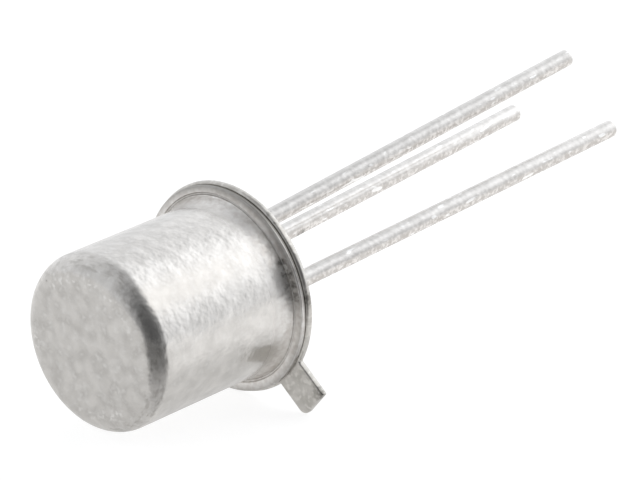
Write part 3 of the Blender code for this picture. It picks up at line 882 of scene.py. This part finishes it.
def make_tent():
    """The dome: a sphere that shines inward, seen by every ray but the camera's."""
    material, tree = new_material("tent_cloth")
    ray = node(tree, "VectorMath", node(tree, "TexCoord", output="Object"), operation="NORMALIZE")
    level = TENT_LEVEL
    for middle, angles, light in TENT_PATCHES.values():
        patch = near_direction(tree, ray, middle, angles, light)
        level = node(tree, "Math", patch, level, operation="ADD")
    level = any_of(tree, level, TENT_LEAST)
    finished(material, node(tree, "Emission", colour(TENT_COLOUR), level))
    segments, rings = TENT_STEPS
    bpy.ops.mesh.primitive_uv_sphere_add(segments=segments, ring_count=rings, radius=TENT_RADIUS)
    put_on_stage("tent", material, "camera")


def make_floor():
    """The white table. It glows for the camera and in reflections, and its cloth takes the shadow."""
    material, tree = new_material("white_table")
    rays = ("Is Camera Ray", "Is Glossy Ray", "Is Transmission Ray")
    seen = any_of(tree, *[node(tree, "LightPath", output=ray) for ray in rays])
    cloth = node(tree, "BsdfDiffuse", (FLOOR_ALBEDO, FLOOR_ALBEDO, FLOOR_ALBEDO, 1))
    glow = node(tree, "Emission", WHITE, all_of(tree, seen, FLOOR_GLOW))
    finished(material, node(tree, "AddShader", cloth, glow))
    bpy.ops.mesh.primitive_circle_add(vertices=FLOOR_STEPS, radius=FLOOR_RADIUS, fill_type="NGON")
    put_on_stage("table", material)


def make_shade():
    """The painted shade on the table: two soft fans round one point, and a soft round spot."""
    material, tree = new_material("painted_table_shade")
    place = node(tree, "TexCoord", output="Object")
    offset = node(tree, "VectorMath", place, SHADE_CENTRE, operation="SUBTRACT")
    far = node(tree, "VectorMath", offset, operation="LENGTH", output="Value")
    ray = node(tree, "VectorMath", offset, operation="NORMALIZE")
    fan, wide_fan = [
        near_direction(tree, ray, (azimuth, 0), angles, cover)
        for azimuth, angles, cover in (SHADE_FAN, SHADE_WIDE_FAN)
    ]
    fan = all_of(tree, fan, node(tree, "MapRange", far, *SHADE_DISTANCES, SHADE_PALE, 1))
    away = node(tree, "VectorMath", place, SHADE_SPOT_CENTRE, operation="DISTANCE", output="Value")
    spot = node(
        tree, "MapRange", away, *SHADE_SPOT_DISTANCES, 0, SHADE_SPOT, interpolation_type="SMOOTHSTEP"
    )
    finished(material, glowing_print(tree, any_of(tree, fan, wide_fan, spot), SHADE_LEVEL))
    bpy.ops.mesh.primitive_plane_add(size=SHADE_SIZE, location=(0, 0, SHADE_LIFT))
    put_on_stage("shade", material, "camera", "diffuse", "shadow")


def make_card():
    """The white card: a disc that shines from its middle and fades out to its edge."""
    material, tree = new_material("white_card")
    place = node(tree, "TexCoord", output="Object")
    far = node(tree, "VectorMath", place, operation="LENGTH", output="Value")
    cover = node(tree, "MapRange", far, *CARD_RADII, interpolation_type="SMOOTHSTEP")
    finished(material, glowing_print(tree, cover, CARD_LEVEL))
    out = Vector(direction(*CARD_DIRECTION))
    stand = Vector(CARD_AIM) + out * CARD_DISTANCE
    turn = out.to_track_quat("Z", "Y").to_euler()
    bpy.ops.mesh.primitive_circle_add(
        vertices=CARD_STEPS, radius=CARD_RADII[0], fill_type="NGON", location=stand, rotation=turn
    )
    put_on_stage("card", material, "camera", "diffuse", "shadow")


def make_world():
    """A white surround for what looks past the tent."""
    world = bpy.data.worlds.new("white_surround")
    bpy.context.scene.world = world
    world.use_nodes = True
    background = world.node_tree.nodes["Background"]
    background.inputs["Color"].default_value = WHITE
    background.inputs["Strength"].default_value = 1


def make_camera():
    """The camera, at its measured place from the can, turned by its three angles."""
    data = bpy.data.cameras.new("camera")
    data.lens = CAMERA_LENS
    data.sensor_width = CAMERA_SENSOR
    data.clip_start, data.clip_end = CAMERA_RANGE
    camera = bpy.data.objects.new("camera", data)
    bpy.context.scene.collection.objects.link(camera)
    camera.location = CAN.translation + Vector(CAMERA_OFFSET) * MM
    turn = Matrix.Rotation(math.radians(CAMERA_AZIMUTH), 4, "Z")
    turn @= Matrix.Rotation(math.radians(90 - CAMERA_ELEVATION), 4, "X")
    turn @= Matrix.Rotation(math.radians(CAMERA_ROLL), 4, "Z")
    camera.rotation_euler = turn.to_euler()
    bpy.context.scene.camera = camera


def dress(piece, material, slot, *nodes):
    """Gives a new piece its material and its place in the part, in place of CAD nodes."""
    piece.data.materials.clear()
    piece.data.materials.append(material)
    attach(piece, "root")
    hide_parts(*nodes)


nickel = drawn_nickel()
plating = stamped_nickel()
tin = dipped_tin()
# Soft drawn gold of the bond wires, the dull gold-silicon solder, and the die's polished silicon
gold = inner_metal("bond_gold", ("#e0ae4c", "#f0c668"), (0.16, 0.28), (0.02, 0.001))
solder = inner_metal("gold_silicon_solder", ("#b39a62", "#cdb67e"), (0.34, 0.5), (0.05, 0.006))
silicon = inner_metal("polished_silicon", ("#4a5164", "#5c6376"), (0.10, 0.18), (0.12, 0.0006))

dress(make_cap(), nickel, "cap_nickel", "cap")
dress(make_header(), plating, "header_plating", "header")
dress(make_glass(), sealing_glass(), "seal_glass", "glass_seal")
for name, lead in LEADS.items():
    dress(make_lead(name, **lead), tin, "lead_tin", name)
for name, material in (
    ("die", silicon),
    ("die_attach", solder),
    ("emitter_bond_wire", gold),
    ("base_bond_wire", gold),
):
    frame["nodes"][name].data.materials.clear()
    frame["nodes"][name].data.materials.append(material)

make_tent()
make_floor()
make_shade()
make_card()
make_world()
make_camera()
bpy.context.scene.view_settings.view_transform = "Standard"
